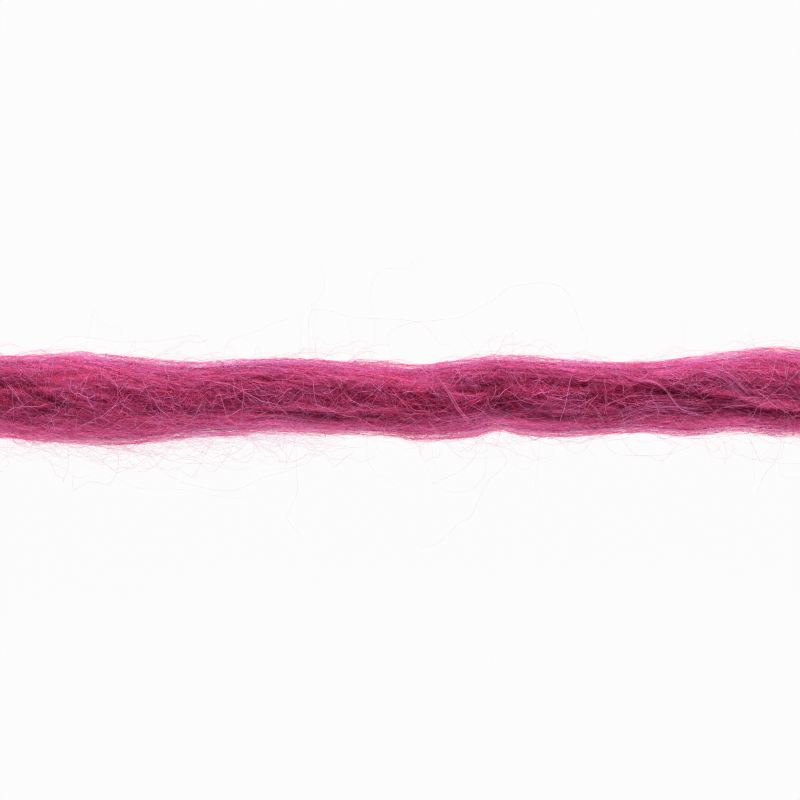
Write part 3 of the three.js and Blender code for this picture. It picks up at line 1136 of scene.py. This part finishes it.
pieces = []
for i in range(laidForm["pieces"]):
    laid = layFibres(laidForm, seeds["laidFibres"] + i)
    pieces.append(makeFibres(f"laidFibres{i + 1}", laid, laidWool))
crossing = crossFibres(crossingForm, seeds["crossingFibres"])
pieces.append(makeFibres("crossingFibres", crossing, looseWool))
for i in range(fuzzForm["pieces"]):
    fuzz = crossFibres(fuzzForm, seeds["fuzzFibres"] + i, evenly=True)
    pieces.append(makeFibres(f"fuzzFibres{i + 1}", fuzz, looseWool))
for piece in arcPieces:
    arcs = haloFibres(piece["form"], piece["rows"], piece["seed"])
    pieces.append(makeFibres(piece["name"], arcs, looseWool))
single = strayFibres(strayForm, strays, seeds["strayFibres"])
pieces.append(makeFibres("strayFibres", single, looseWool, smooth=4))
across = acrossFibres(acrossForm, laidAcross, bundles, seeds["acrossFibres"])
pieces.append(makeFibres("acrossFibres", across, looseWool, smooth=3))
pieces.append(makeFibres("cutEnds", brushFibres(brushForm, seeds["cutEnds"]), laidWool))

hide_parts("strand")
for piece in [body] + pieces:
    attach(piece, "root")

# In metres, with the rim's own radius. It glows, so that it is as evenly white as the picture's ground.
floorForm = {
    "radius": 4, "rim": 0.6, "rimSteps": 10, "segments": 96, "glow": 0.965, "albedo": 0.02, "rough": 0.9,
    "specular": 0.1,
}


# A round floor that curves up all round, so that it fills a low view too
def makeFloor(form):
    bm = bmesh.new()
    bmesh.ops.create_circle(bm, cap_ends=True, radius=form["radius"], segments=form["segments"])
    radius, height = form["radius"], 0
    for i in range(form["rimSteps"]):
        turn = math.pi / 2 * (i + 1) / form["rimSteps"]
        outer = form["radius"] + form["rim"] * math.sin(turn)
        upper = form["rim"] * (1 - math.cos(turn))
        rim = bmesh.ops.extrude_edge_only(bm, edges=[edge for edge in bm.edges if edge.is_boundary])["geom"]
        corners = [item for item in rim if isinstance(item, bmesh.types.BMVert)]
        bmesh.ops.scale(bm, verts=corners, vec=(outer / radius, outer / radius, 1))
        bmesh.ops.translate(bm, verts=corners, vec=(0, 0, upper - height))
        radius, height = outer, upper
    mesh = bpy.data.meshes.new("floor")
    bm.to_mesh(mesh)
    bm.free()
    material = bpy.data.materials.new("floor")
    material.use_nodes = True
    setInputs(material.node_tree.nodes["Principled BSDF"], {
        "Base Color": (form["albedo"],) * 3 + (1,), "Roughness": form["rough"],
        "Specular IOR Level": form["specular"], "Emission Color": (1, 1, 1, 1),
        "Emission Strength": form["glow"],
    })
    mesh.materials.append(material)
    addObject("floor", mesh)


makeFloor(floorForm)

# Two low lamps light the strand's long edges. Places and sizes are in metres, power in watts.
lampAim = Vector((0, 0, 0.003))
lamps = [
    {"name": "upperLamp", "place": (0.0, 0.6, 0.12), "size": (0.9, 0.24), "power": 6.85},
    {"name": "lowerLamp", "place": (0.0, -0.6, 0.12), "size": (0.9, 0.24), "power": 4.6},
]


def makeLamp(lamp):
    data = bpy.data.lights.new(lamp["name"], "AREA")
    data.shape = "RECTANGLE"
    data.size, data.size_y = lamp["size"]
    data.energy = lamp["power"]
    light = addObject(lamp["name"], data)
    light.location = lamp["place"]
    light.rotation_euler = (lampAim - light.location).to_track_quat("-Z", "Y").to_euler()


for lamp in lamps:
    makeLamp(lamp)

# Bright near the horizon and dim overhead, from the upward part of the direction
skyForm = {"level": 5.5, "overhead": 0.65, "upFrom": 0.05, "upTo": 0.5}


def makeSky(form):
    world = bpy.data.worlds.new("studio")
    bpy.context.scene.world = world
    world.use_nodes = True
    nodes, links = world.node_tree.nodes, world.node_tree.links
    background = nodes["Background"]
    direction = nodes.new("ShaderNodeTexCoord")
    split = nodes.new("ShaderNodeSeparateXYZ")
    fade = addNode(nodes, "ShaderNodeMapRange", {
        "From Min": form["upFrom"], "From Max": form["upTo"],
        "To Min": form["level"], "To Max": form["overhead"],
    })
    links.new(direction.outputs["Generated"], split.inputs["Vector"])
    links.new(split.outputs["Z"], fade.inputs["Value"])
    links.new(fade.outputs["Result"], background.inputs["Strength"])


makeSky(skyForm)
bpy.context.scene.view_settings.view_transform = "Standard"
# These two keep the single fibres sharp
bpy.context.scene.cycles.filter_width = 1.2
bpy.context.scene.cycles.denoising_prefilter = "NONE"
print("stage lit")
